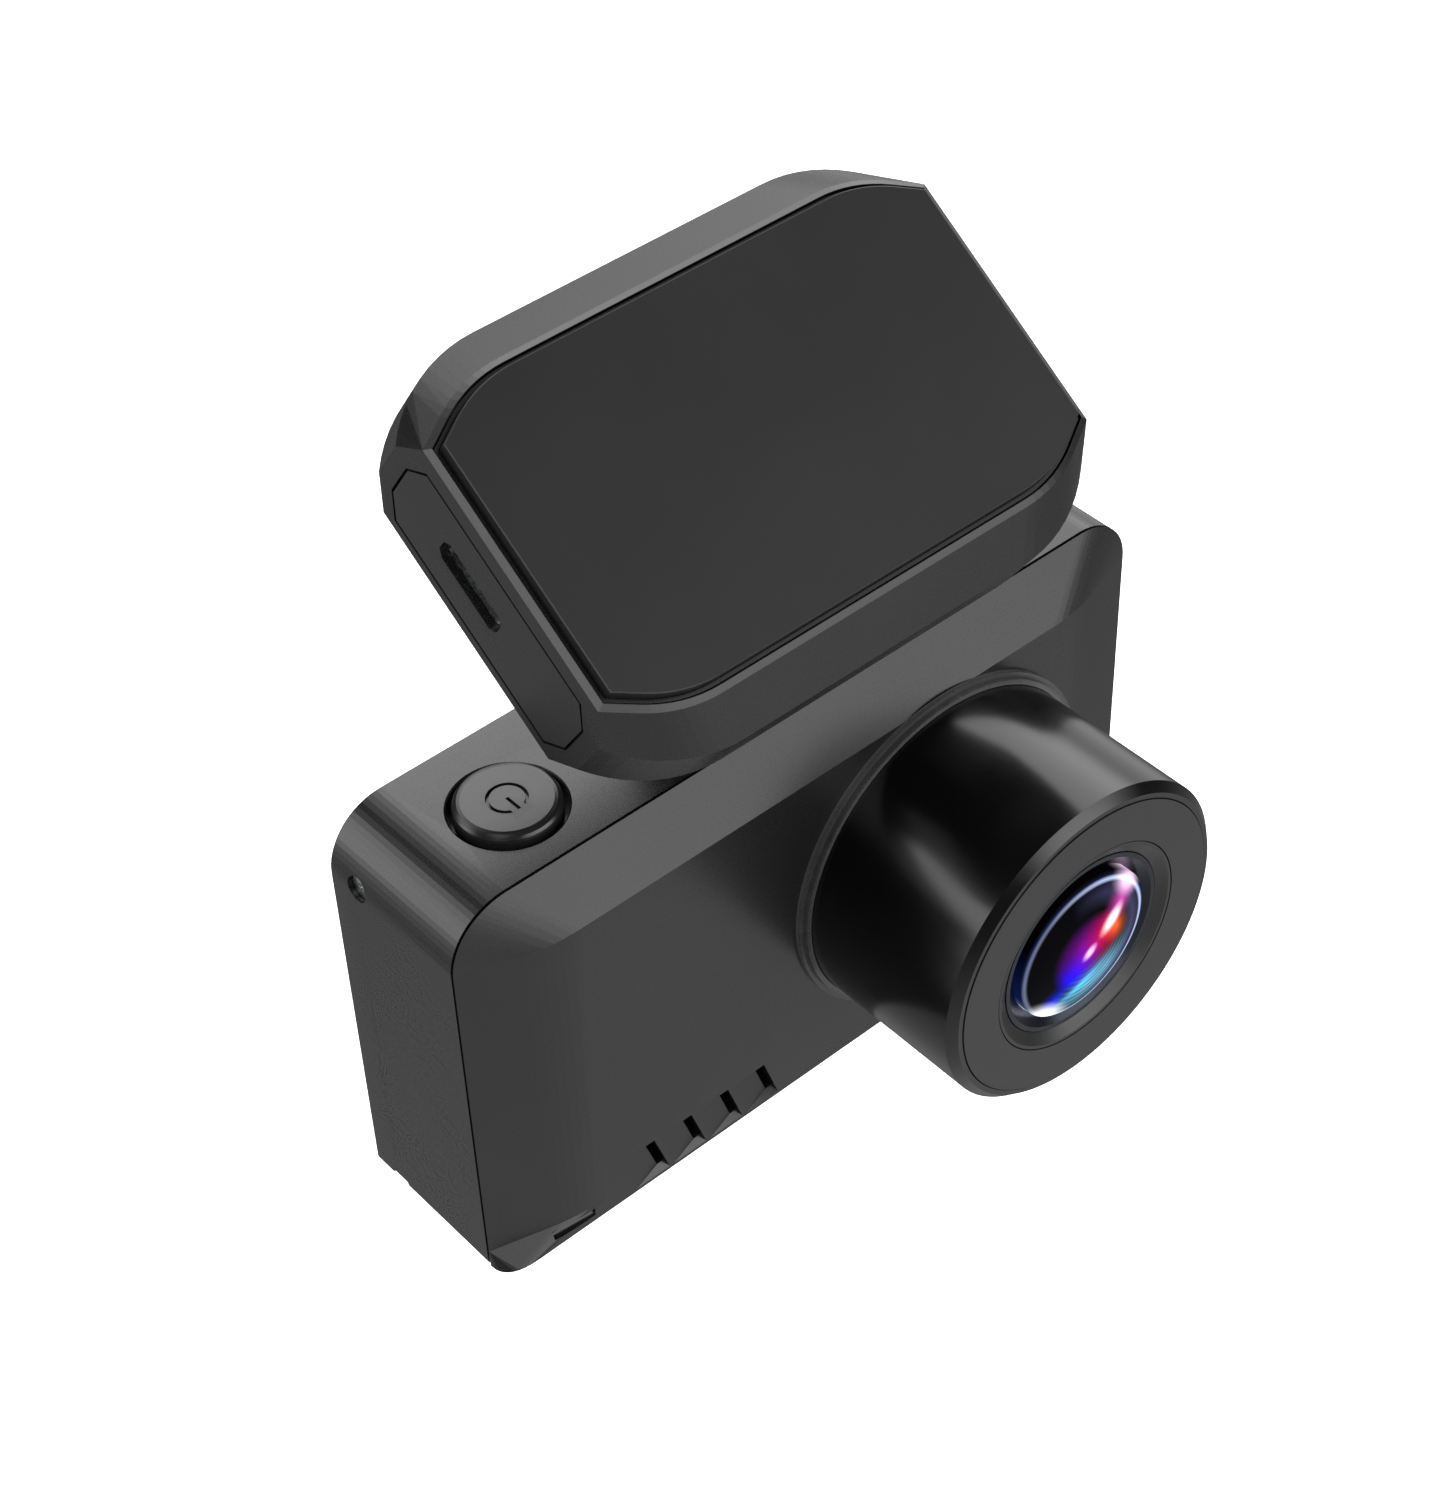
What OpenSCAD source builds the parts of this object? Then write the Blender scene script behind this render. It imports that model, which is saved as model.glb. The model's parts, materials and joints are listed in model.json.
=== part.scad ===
// Windscreen dash camera.
// A camera body slides onto a shoe, the shoe tilts on a screw under an adhesive bracket,
// and the bracket holds the power inlet. Units are millimetres.
// Origin: centre of the adhesive face that meets the glass. +Z is up, the lens looks along -Y,
// and +X is to the right as seen by someone facing the lens.

/* [Camera body] */
// Width of the body
body_w = 85; // [70:0.5:110]
// Height of the body
body_h = 47.1; // [40:0.1:60]
// Depth of the rear housing, behind the parting line
case_d = 18.5; // [14:0.1:26]
// How far the front shell stands out of the parting line
shell_d = 2.6; // [1.5:0.1:5]
// Radius of the two top corners
corner_r = 6.5; // [3:0.1:12]
// Radius of the two bottom corners
foot_r = 0.4; // [0.2:0.1:5]
// Height of the crease where the front face meets the sloping band
crease_h = 40.3; // [30:0.1:46]
// Wall thickness of the housing
wall = 1.8; // [1.2:0.1:3]

/* [Lens barrel] */
// Lens axis, measured right from the middle of the body
lens_x = 14.5; // [-20:0.1:20]
// Height of the lens axis above the bottom of the body
lens_z = 21.75; // [15:0.05:30]
// Outer radius of the barrel
barrel_r = 18; // [12:0.1:22]
// Distance from the parting line to the front of the barrel
barrel_y = 23.2; // [12:0.1:35]
// Radius of the trim ring round the foot of the barrel
ring_r = 19.1; // [13:0.1:23]
// Outer radius of the flat annular cover
cover_r = 16.5; // [10:0.1:20]
// Outer radius of the sloping hood inside the cover
hood_r = 11.8; // [8:0.1:16]
// Outer radius of the metal retaining ring
bezel_r = 10.2; // [6:0.1:14]
// Free radius of the front glass
glass_r = 8.4; // [5:0.1:12]
// Radius of curvature of the front glass
glass_curve = 32; // [10:0.5:40]

/* [Power button] */
// Position of the button from the middle of the body
button_x = -29.1; // [-36:0.1:-20]
// Position of the button behind the parting line
button_y = 8.4; // [6:0.1:12]
// Radius of the recess in the top of the body
well_r = 5.65; // [4:0.05:7]
// Largest radius of the cap
cap_r = 5.1; // [3:0.05:6]
// Height of the cap above the top of the body
cap_h = 1; // [0:0.1:2]
// Travel of the cap
press = 0.6; // [0.3:0.1:1]

/* [Front details] */
// Number of louvres
louvres = 4; // [2:1:6]
// Distance between louvres
louvre_pitch = 4.8; // [3:0.1:8]
// Middle of the first louvre
louvre_x = -23.35; // [-30:0.05:-10]
// Height of a louvre's middle above the bottom of the body
louvre_z = 3.45; // [3:0.05:8]
// Width of a louvre's opening
louvre_w = 0.9; // [0.5:0.05:2]
// How far the louvres lean, in degrees
louvre_lean = 18; // [0:1:30]

/* [Bracket] */
// Tilt of the bracket against the camera body, in degrees
bracket_tilt = 35; // [0:1:60]
// Half length of the bracket
half_l = 29; // [20:0.1:40]
// Half width of the adhesive side at its ends
end_w = 13.2; // [8:0.1:20]
// Half width of the adhesive side in the middle
mid_w = 17.2; // [12:0.1:25]
// Radius of the soft corners
soft_r = 15; // [8:0.5:17]
// Thickness of the bracket
plate_t = 13.6; // [10:0.1:18]
// Half width at the widest level of the flared sides
wide_w = 21.2; // [14:0.1:30]
// Half width at the same level, at the ends
wide_end = 15.5; // [10:0.1:24]
// Inset of the adhesive pad from the edge
pad_in = 1.25; // [1.2:0.05:4]
// How far the adhesive pad stands out of the rim
pad_rise = 0.9; // [0.2:0.1:2]

/* [Hinge and shoe] */
// Distance of the hinge axis behind the bracket's middle
hinge_v = -5; // [-10:0.1:5]
// Distance of the hinge axis below the bracket
hinge_drop = 6; // [5:0.1:9]
// Radius of the lugs
lug_r = 4.5; // [3.5:0.1:6]
// Radius of the hinge screw's shank
shank_r = 1.5; // [1:0.05:2]
// Half width of the knuckle between the lugs
knuckle_w = 4.6; // [3:0.1:7]
// Clearance of the shoe's foot in the rail
slide_gap = 0.2; // [0.1:0.05:0.4]
// Middle of the rail behind the parting line
rail_y = 9.5; // [8:0.1:11]
// Length of the rail
rail_l = 30; // [20:0.5:40]
// Width of the rail
rail_w = 14.5; // [12:0.1:17]

/* [Hidden] */
$fn = 72;
eps = 0.01;
// Bottom of the body at the parting line, seen from the origin
cam_at = [0, -3.88, -76.84];
// Hinge axis in the bracket's own tilted frame, whose zero is the rim's plane
hinge_at = [0, hinge_v, -plate_t - hinge_drop];
hinge_n = hinge_at[2] - pad_rise;
hinge_y = hinge_at[1] * cos(bracket_tilt) - hinge_n * sin(bracket_tilt);
hinge_z = hinge_at[1] * sin(bracket_tilt) + hinge_n * cos(bracket_tilt);
// The same axis in the camera's frame
axis_y = hinge_y - cam_at[1];
axis_z = hinge_z - cam_at[2];
// Soft corner centres
soft_x = (half_l * sin(31) + end_w * cos(31) - soft_r - (mid_w - soft_r) * cos(31)) / sin(31);
soft_y = mid_w - soft_r;
// Arc of the flared sides at their widest level
wide_r = 16;
wide_y = wide_w - wide_r;
wide_a = asin((wide_end - wide_y) / wide_r);
wide_x = half_l - wide_r * cos(wide_a);
// Rail levels above the bottom of the body
rail_floor = body_h + 1.2;
rail_lip = rail_floor + 1.7;
rail_top = rail_lip + 1;
shoe_z = rail_top + 0.3;
// Half width of the rail's channel and of the slot between its lips
channel_w = 5.7;
slot_w = 4;
// Faces of the inner parts
board_y = 10.6;
board_t = 1.2;
lcd_y = 13.8;
// Bracket levels below the rim's plane
rim_z = -0.05;
rim_in = 0.6;
rim_deep = 0.4;
foot_h = 2.2;
cap_edge = 0.8;
tray_z = -0.75;
inlet = [0, 2.4, -7.55];
pcb_z = -9.2;

// ---------------------------------------------------------------- helpers

// Parts of the camera, drawn from the bottom of the body at the parting line
module cam() { translate(cam_at) children(); }

// Parts of the bracket, drawn level with the rim's plane at zero
module tilted() { rotate([bracket_tilt, 0, 0]) translate([0, 0, -pad_rise]) children(); }

// A flat drawing in X and Z, extruded from y0 to y1
module along_y(y0, y1) {
    translate([0, y1, 0]) rotate([90, 0, 0]) linear_extrude(y1 - y0) children();
}

// A cylinder or cone round the Y axis from y0 to y1
module disc(y0, y1, ra, rb) {
    translate([0, y0, 0]) rotate([-90, 0, 0]) cylinder(h = y1 - y0, r1 = ra, r2 = rb);
}

// A washer round the Y axis
module washer(y0, y1, ro, ri) {
    difference() {
        disc(y0, y1, ro, ro);
        disc(y0 - 1, y1 + 1, ri, ri);
    }
}

// A cylinder along X
module rod(x0, x1, r) {
    translate([x0, 0, 0]) rotate([0, 90, 0]) cylinder(h = x1 - x0, r = r);
}

// A box given by two opposite corners
module block(a, b) { translate(a) cube(b - a); }

// A rectangle with four equal round corners, centred
module soft_rect(w, h, r) {
    square([w - 2 * r, h], center = true);
    square([w, h - 2 * r], center = true);
    for (x = [-1, 1], z = [-1, 1]) translate([x * (w / 2 - r), z * (h / 2 - r)]) circle(r);
}

// The body's outline in X and Z, drawn in by g
module outline(g = 0) {
    top = corner_r - min(g, corner_r - 1);
    low = max(foot_r - g, 0.4);
    x = body_w / 2 - g;
    translate([-x, g + low]) square([2 * x, body_h - 2 * g - top - low]);
    translate([-x + top, body_h - g - top - eps]) square([2 * (x - top), top + eps]);
    translate([-x + low, g]) square([2 * (x - low), low + eps]);
    for (s = [-1, 1]) {
        translate([s * (x - top), body_h - g - top]) circle(top);
        translate([s * (x - low), g + low]) circle(low);
    }
}

// The front shell's plan, whose two ends sweep back to the parting line
module shell_plan(g = 0) {
    bend_r = 22;
    bend = 15.5;
    run = bend_r * sin(bend) + (shell_d - bend_r * (1 - cos(bend))) / tan(bend);
    x0 = body_w / 2 - run;
    arc = [for (a = [0:bend / 6:bend + eps])
        [x0 + bend_r * sin(a), -shell_d + bend_r * (1 - cos(a)) + g]];
    edge = [[body_w / 2 - g, 0]];
    right = concat(arc, edge);
    left = [for (i = [len(right) - 1:-1:0]) [-right[i][0], right[i][1]]];
    polygon(concat(right, left));
}

// The bracket's outline grown by g, with its two ends drawn in by d
module plate_shape(g, d = 0) {
    x1 = half_l - d;
    y1 = (soft_x * sin(31) + soft_y * cos(31) + soft_r + g - x1 * sin(31)) / cos(31);
    quarter = concat([for (a = [90:-31 / 8:58.9])
        [soft_x + (soft_r + g) * cos(a), soft_y + (soft_r + g) * sin(a)]], [[x1, y1]]);
    four_fold(quarter);
}

// The bracket's outline at the widest level
module wide_shape() {
    four_fold([for (i = [0:10]) let (a = 90 - i / 10 * (90 - wide_a))
        [wide_x + wide_r * cos(a), wide_y + wide_r * sin(a)]]);
}

// An outline mirrored four-fold from its first quarter
module four_fold(q) {
    last = len(q) - 1;
    polygon(concat(q, [for (i = [last:-1:0]) [q[i][0], -q[i][1]]],
        [for (i = [0:last]) [-q[i][0], -q[i][1]]],
        [for (i = [last:-1:0]) [-q[i][0], q[i][1]]]));
}

// One thin level of a body with the bracket's outline
module level(z, g, d = 0) {
    translate([0, 0, z]) linear_extrude(eps) plate_shape(g, d);
}

// A straight-sided piece with the bracket's outline drawn in by d
module plate_prism(z0, z1, d) {
    translate([0, 0, z0]) linear_extrude(z1 - z0) plate_shape(-d, d);
}

// A screw with a flat countersunk head, pointing down from z = 0
module flat_screw(head_r, shank, length) {
    translate([0, 0, -1]) cylinder(h = 1, r1 = shank, r2 = head_r, $fn = 32);
    translate([0, 0, -length]) cylinder(h = length - 1 + eps, r = shank, $fn = 32);
}

// The octagon of the port panel in the bracket's end, drawn in by g
module panel_shape(g = 0) {
    w = 13.4 - g;
    n = 11.6 - g * 0.6;
    polygon([[-n, -2.45 - g], [n, -2.45 - g], [w, -5], [w, -9.7], [n, -12.45 + g],
        [-n, -12.45 + g], [-w, -9.7], [-w, -5]]);
}

// The panel's octagon as a slab in the bracket's left end
module end_slab(x0, x1, g) {
    translate([x0, 0, 0]) rotate([90, 0, 90]) linear_extrude(x1 - x0) panel_shape(g);
}

// The chamfered slot in front of the power inlet
module inlet_slot(x0, x1) {
    translate([x0, inlet[1], inlet[2]]) rotate([90, 0, 90]) linear_extrude(x1 - x0)
        polygon([[-4.4, -0.7], [-3.7, -1.4], [3.7, -1.4], [4.4, -0.7],
            [4.4, 0.7], [3.7, 1.4], [-3.7, 1.4], [-4.4, 0.7]]);
}

// ---------------------------------------------------------------- bracket

// Housing of the bracket with the two hinge lugs
module bracket_shell() {
    color("#1d1e20") tilted() {
        difference() {
            union() {
                hull() {
                    level(rim_z - eps, -rim_in, rim_in);
                    level(rim_z - rim_deep, 0);
                    translate([0, 0, -9.8]) linear_extrude(5.5) wide_shape();
                    level(-plate_t, -0.2);
                }
                lugs();
            }
            plate_prism(-2.6, 1, 0.65);
            hull() {
                level(-2.61, -2, 2.6);
                level(-5, 0.8, 2.6);
                level(-9.8, 0.8, 2.6);
                level(-plate_t + 1.7, -2.2, 2.6);
            }
            translate(inlet + [-half_l, 0, 0]) rotate([90, 0, 90]) linear_extrude(5)
                soft_rect(9.3, 3.3, 1.5);
            translate(hinge_at) rod(-20, 20, shank_r + 0.05);
            translate(hinge_at + [7.1, 0, 0]) rotate([0, 90, 0]) cylinder(h = 5, r = 3.2, $fn = 6);
            end_slab(-half_l - 1, -half_l + 0.8, -0.15);
            inlet_slot(-half_l - 1, -half_l + 6);
            lid_bosses(0.75, -5);
        }
        difference() {
            lid_bosses(1.6, -2.6);
            lid_bosses(0.75, -2);
        }
    }
}

// The two lugs that hold the hinge screw
module lugs() {
    for (s = [-1, 1]) translate([s > 0 ? 5.1 : -8.7, hinge_v, 0]) {
        translate([0, 0, hinge_at[2]]) rod(0, 3.6, lug_r);
        translate([0, -lug_r, hinge_at[2]]) cube([3.6, 2 * lug_r, hinge_drop + 1]);
    }
}

// Four posts for the lid screws, of radius r, reaching up to z
module lid_bosses(r, z) {
    for (x = [-22, 22], y = [-11, 11]) translate([x, y, -plate_t + 1])
        cylinder(h = z + plate_t - 1, r = r, $fn = 32);
}

// Cover of the bracket, with a shallow tray for the pad
module bracket_lid() {
    color("#232427") tilted() difference() {
        plate_prism(-2.58, rim_z - 0.25, 0.82);
        plate_prism(tray_z, 1, 1.15);
        for (x = [-22, 22], y = [-11, 11]) translate([x, y, tray_z])
            flat_screw(1.75, 0.9, 4);
    }
}

// Double-sided foam tape
module adhesive_pad() {
    color("#2b2c2e") tilted() plate_prism(tray_z + 0.02, pad_rise, pad_in);
}

// Octagonal insert in the bracket's left end
module port_panel() {
    color("#202124") tilted() difference() {
        end_slab(-half_l + eps, -half_l + 0.78, 0.12);
        inlet_slot(-half_l - 1, 0);
    }
}

// Metal shell and tongue of the power inlet
module power_inlet() {
    color("#9a9da1") tilted() translate(inlet) {
        difference() {
            translate([-half_l + 0.85, 0, 0]) rotate([90, 0, 90]) linear_extrude(7.4)
                soft_rect(9.2, 3.2, 1.5);
            translate([-half_l - 1, 0, 0]) rotate([90, 0, 90]) linear_extrude(7.4)
                soft_rect(8.6, 2.6, 1.2);
        }
        block([-half_l + 2.2, -3.3, -0.35], [-half_l + 7, 3.3, 0.35]);
    }
}

// Circuit board that regulates the supply
module bracket_board() {
    color("#1f5a3a") tilted() difference() {
        block([-half_l + 3.2, -9, pcb_z - 1.2], [21, 9.2, pcb_z]);
        for (x = [-22, 22], y = [-11, 11]) translate([x, y, -12]) cylinder(h = 6, r = 2.6);
    }
}

// Ceramic satellite antenna
module gps_patch() {
    color("#b9a98c") tilted() block([-7, -8.8, pcb_z], [11, 9.2, pcb_z + 4]);
}

// Shielded coil of the voltage converter
module power_coil() {
    color("#3a3b3f") tilted() block([13.5, -4, pcb_z], [20, 2.5, pcb_z + 3]);
}

// Screws that close the bracket
module lid_screws() {
    color("#8d9094") tilted() for (x = [-22, 22], y = [-11, 11]) translate([x, y, tray_z - 0.02])
        flat_screw(1.65, 0.7, 8);
}

// Pan-head screw that the shoe turns on
module hinge_screw() {
    color("#2e2f31") tilted() translate(hinge_at) difference() {
        union() {
            rod(-8.8, 9, shank_r);
            rod(-10.6, -8.71, 2.8);
        }
        translate([-11, 0, 0]) rotate([0, 90, 0]) cylinder(h = 1.5, r = 1.25, $fn = 6);
    }
}

// Hexagon nut held in the right lug
module hinge_nut() {
    color("#8d9094") tilted() translate(hinge_at) difference() {
        translate([7.12, 0, 0]) rotate([0, 90, 0]) cylinder(h = 2.3, r = 3.1, $fn = 6);
        rod(5, 12, shank_r + 0.03);
    }
}

// Friction washers on both sides of the knuckle
module friction_washers() {
    color("#c8c4b6") tilted() translate(hinge_at) for (x = [-5.08, 4.68]) difference() {
        rod(x, x + 0.4, 4.1);
        rod(x - 1, x + 1.4, shank_r + 0.05);
    }
}

// ---------------------------------------------------------------- shoe

// Knuckle, plate and T-shaped foot that enters the rail
module shoe() {
    foot_l = rail_l - 4.3;
    color("#1d1e20") cam() difference() {
        union() {
            translate([0, axis_y, axis_z]) rod(-knuckle_w, knuckle_w, lug_r - 0.1);
            block([-knuckle_w, axis_y - 4.4, shoe_z + 0.5], [knuckle_w, axis_y + 4.4, axis_z]);
            block([-13, rail_y - 7, shoe_z], [13, rail_y + 7, shoe_z + 0.9]);
            block([-rail_l / 2 + 1.5, rail_y - slot_w + slide_gap, rail_lip - slide_gap - 0.1],
                [-rail_l / 2 + 1.5 + foot_l, rail_y + slot_w - slide_gap, shoe_z + 0.1]);
            block([-rail_l / 2 + 1.5, rail_y - channel_w + slide_gap, rail_floor + slide_gap],
                [-rail_l / 2 + 1.5 + foot_l, rail_y + channel_w - slide_gap, rail_lip - slide_gap]);
        }
        translate([0, axis_y, axis_z]) rod(-10, 10, shank_r + 0.06);
        for (x = pins()) translate([x, rail_y, rail_floor - 1]) cylinder(h = 3.5, r = 0.65, $fn = 24);
    }
}

// Positions of the contact pins along the foot
function pins() = [-4.5:3:4.5];

// Sprung contact pins in the foot
module shoe_pins() {
    color("#c9a24a") cam() for (x = pins()) translate([x, rail_y, rail_floor + 0.1]) {
        cylinder(h = 2.3, r = 0.6, $fn = 24);
    }
}

// Channel on top of the body that takes the foot, closed at its right end
module rail() {
    color("#1d1e20") cam() difference() {
        block([-rail_l / 2, rail_y - rail_w / 2, body_h], [rail_l / 2, rail_y + rail_w / 2, rail_top]);
        block([-rail_l, rail_y - channel_w, rail_floor], [rail_l / 2 - 2.5, rail_y + channel_w, rail_lip]);
        block([-rail_l, rail_y - slot_w, rail_floor], [rail_l / 2 - 2.5, rail_y + slot_w, rail_top + 1]);
        block([-6.5, rail_y - 2, body_h - 1], [6.5, rail_y + 2, rail_floor + 1]);
        for (x = [-10.5, 10.5]) translate([x, rail_y, rail_floor]) flat_screw(1.85, 0.95, 6);
    }
}

// Screws that hold the rail to the body
module rail_screws() {
    color("#8d9094") cam() for (x = [-10.5, 10.5]) translate([x, rail_y, rail_floor - 0.04])
        flat_screw(1.75, 0.85, 5);
}

// Contact strip in the rail's floor
module contact_pads() {
    color("#c9a24a") cam() {
        block([-6.4, rail_y - 1.9, body_h + 0.02], [6.4, rail_y + 1.9, rail_floor - 0.35]);
        for (x = pins()) block([x - 1, rail_y - 1.4, rail_floor - 0.36], [x + 1, rail_y + 1.4, rail_floor - 0.04]);
    }
}

// ---------------------------------------------------------------- camera housing

// Rear housing
module case() {
    color("#1c1d1f") cam() difference() {
        union() {
            difference() {
                union() {
                    along_y(0, 0.34) outline(1);
                    hull() {
                        along_y(0.34 - eps, case_d - 0.3) outline();
                        along_y(case_d - eps, case_d) outline(0.3);
                    }
                }
                difference() {
                    block([-body_w, case_d - 1.3, -1], [body_w, case_d + 1, 1.3]);
                    translate([0, case_d - 1.3, 1.3]) rod(-body_w - 1, body_w + 1, 1.3);
                }
                along_y(-1, case_d - 1.8) outline(wall);
            }
            translate([button_x, button_y, body_h - 3.6]) cylinder(h = 2.4, r = well_r + 1);
            for (p = board_posts()) translate([p[0], 0, p[1]]) disc(board_y + board_t, case_d - 1, 2, 2);
        }
        along_y(case_d - 1, case_d + 1) translate([0, body_h / 2]) soft_rect(79.1, 41.2, 3);
        along_y(case_d - 3, case_d + 1) translate([0, body_h / 2]) soft_rect(62, 36.4, 0.8);
        translate([button_x, button_y, body_h - 2.3]) cylinder(h = 5, r = well_r);
        translate([button_x, button_y, body_h - 0.15]) cylinder(h = 0.2, r1 = well_r, r2 = well_r + 0.2);
        translate([button_x, button_y, body_h - 6]) cylinder(h = 6, r = 2.2);
        for (s = [-1, 1]) {
            translate([0, 14.3, 41.2]) rod(s * body_w / 2 - 1.3, s * body_w / 2 + 1.3, 1.35);
            translate([0, 14.35, -0.1]) rod(s * body_w / 2 - 0.3, s * body_w / 2 + 0.3, 1.35);
            translate([0, 14.3, 41.2]) rod(s * body_w / 2 - 3, s * body_w / 2 + 3, 0.8);
        }
        for (x = [-33:2.4:-21]) translate([x, 5.5, -1]) cylinder(h = 4, r = 0.6, $fn = 24);
        block([body_w / 2 - 4, 8.65, 24.9], [body_w / 2 + 1, 10.35, 37.1]);
        translate([body_w / 2 + 1.2, 9.5, 31]) rotate([90, 0, 0])
            cylinder(h = 4.6, r = 2.6, center = true);
        block([-6, rail_y - 1.6, body_h - 4], [6, rail_y + 1.6, body_h + 1]);
        for (x = [-10.5, 10.5]) translate([x, rail_y, body_h - 4]) cylinder(h = 6, r = 0.9, $fn = 24);
        for (p = board_posts()) translate([p[0], 0, p[1]]) disc(0, case_d - 2.2, 0.8, 0.8);
    }
}

// Places of the screw posts behind the main board, in X and Z
function board_posts() = [[-35.2, 5.4], [35.2, 5.4], [-35.2, 40.6], [35.2, 40.6]];

// Front shell with a sloping band along its top
module front_shell() {
    color("#1c1d1f") cam() difference() {
        union() {
            hull() {
                along_y(-eps, 0) outline();
                linear_extrude(crease_h) shell_plan();
            }
            hull() {
                linear_extrude(0.05) foot_plan();
                linear_extrude(foot_h) shell_plan();
            }
            along_y(-0.5, 1.4) difference() {
                outline(wall + 0.08);
                outline(wall + 1);
            }
        }
        hull() {
            along_y(-eps, 1) outline(wall + 1);
            along_y(-shell_d + 1.4, 0) translate([0, 1.5]) scale([0.82, 0.84]) outline();
        }
        along_y(-eps, 2) outline(wall + 1);
        translate([lens_x, 0, lens_z]) {
            disc(-5, 2, barrel_r + 0.1, barrel_r + 0.1);
            disc(-shell_d + 1.4, 2, ring_r + 0.7, ring_r + 0.7);
        }
        for (i = [0:louvres - 1]) translate([louvre_x + i * louvre_pitch, 0, louvre_z]) louvre();
        translate([-33.9, -2.35, 1.3]) rotate([0, 0, -6]) rod(-2.5, 2.5, 0.5);
    }
}

// Plan of the front shell's foot, whose corners are fuller than those above it
module foot_plan() {
    x = body_w / 2;
    right = [for (a = [0:10:90]) [x - 4 + 4 * pow(sin(a), 0.8), -shell_d * pow(cos(a), 0.8)]];
    left = [for (i = [len(right) - 1:-1:0]) [-right[i][0], right[i][1]]];
    polygon(concat(right, left));
}

// A leaning slot with a ramp on its left, cut off level at the top and at the bottom
module louvre() {
    w = louvre_w / 2;
    deep = -shell_d + 0.6;
    intersection() {
        rotate([0, -louvre_lean, 0]) block([-w, -5, -4], [w, -0.6, 4]);
        block([-3, -6, -2.35], [3, 0, 2.25]);
    }
    intersection() {
        rotate([0, -louvre_lean, 0]) translate([0, 0, -5]) linear_extrude(10)
            polygon([[-3.6, -shell_d - 0.2], [-3.6, -shell_d], [-w, deep], [w, deep],
                [w, -shell_d - 0.2]]);
        translate([-6, 0, 0]) rotate([90, 0, 90]) linear_extrude(9)
            polygon([[-6, 2.25], [-6, -3.05], [-shell_d, -3.05], [deep + 0.05, -2.35], [deep + 0.05, 2.25]]);
    }
}

// Flat cover over the screen
module screen_cover() {
    color("#0b0c0e") cam() along_y(case_d - 0.98, case_d - 0.03)
        translate([0, body_h / 2]) soft_rect(78.9, 41, 2.9);
}

// Display module behind the cover
module screen() {
    color("#101820") cam() {
        along_y(lcd_y, case_d - 1.85) translate([0, body_h / 2]) soft_rect(65.5, 39, 1);
        along_y(case_d - 1.9, case_d - 1.02) translate([0, body_h / 2]) soft_rect(61.6, 36, 0.6);
    }
}

// Screws in the two ends, under the top corners
module side_screws() {
    x = body_w / 2 - 1.25;
    color("#3b3c3f") cam() for (s = [0, 1]) mirror([s, 0, 0]) translate([0, 14.3, 41.2])
        difference() {
            union() {
                rod(x, x + 0.7, 1.22);
                rod(x - 3, x + 0.1, 0.7);
            }
            rod(x + 0.45, x + 2, 0.4);
        }
}

// ---------------------------------------------------------------- lens

// Trim ring round the foot of the barrel
module trim_ring() {
    color("#242528") cam() translate([lens_x, 0, lens_z]) difference() {
        union() {
            disc(-shell_d - 0.55, -shell_d, ring_r, ring_r);
            disc(-shell_d - 1.1, -shell_d - 0.54, ring_r - 0.5, ring_r - 0.5);
        }
        disc(-5, 0, barrel_r + 0.06, barrel_r + 0.06);
    }
}

// Outer tube of the lens
module lens_barrel() {
    color("#17181a") cam() translate([lens_x, 0, lens_z]) difference() {
        union() {
            disc(-barrel_y + 1, -1.1, barrel_r, barrel_r);
            disc(-barrel_y + 0.1, -barrel_y + 1, barrel_r - 0.85, barrel_r);
            disc(-1.12, 0.2, ring_r + 0.5, ring_r + 0.5);
        }
        disc(-barrel_y + 3.4, 1, barrel_r - 1.8, barrel_r - 1.8);
        disc(-barrel_y - 1, -barrel_y + 4.7, cover_r + 0.12, cover_r + 0.12);
    }
}

// Flat annular cover in the front of the barrel
module barrel_cover() {
    color("#2a2b2d") cam() translate([lens_x, 0, lens_z])
        washer(-barrel_y, -barrel_y + 1.8, cover_r, hood_r + 0.12);
}

// Sloping hood between the cover and the retaining ring
module lens_hood() {
    color("#27282a") cam() translate([lens_x, 0, lens_z]) difference() {
        disc(-barrel_y + 0.05, -barrel_y + 2.1, hood_r, hood_r);
        disc(-barrel_y - 1, -barrel_y + 3, bezel_r + 0.1, bezel_r + 0.1);
        disc(-barrel_y - 0.01, -barrel_y + 0.75, hood_r - 0.25, bezel_r + 0.1);
    }
}

// Metal ring that holds the front glass
module retaining_ring() {
    color("#4b5059") cam() translate([lens_x, 0, lens_z]) difference() {
        disc(-barrel_y + 0.7, -barrel_y + 2.6, bezel_r, bezel_r);
        disc(-barrel_y - 1, -barrel_y + 3, glass_r + 0.1, glass_r + 0.1);
        disc(-barrel_y + 0.6, -barrel_y + 1.5, bezel_r - 0.35, glass_r + 0.1);
    }
}

// Domed front glass
module front_glass() {
    dome_y = -barrel_y - 0.5 + glass_curve;
    color("#3a2f6b", 0.7) cam() translate([lens_x, 0, lens_z]) difference() {
        intersection() {
            translate([0, dome_y, 0]) sphere(glass_curve, $fn = 192);
            disc(-barrel_y - 1, -barrel_y + 3.6, glass_r, glass_r);
        }
        translate([0, -barrel_y + 11.4, 0]) sphere(10, $fn = 96);
    }
}

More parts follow.
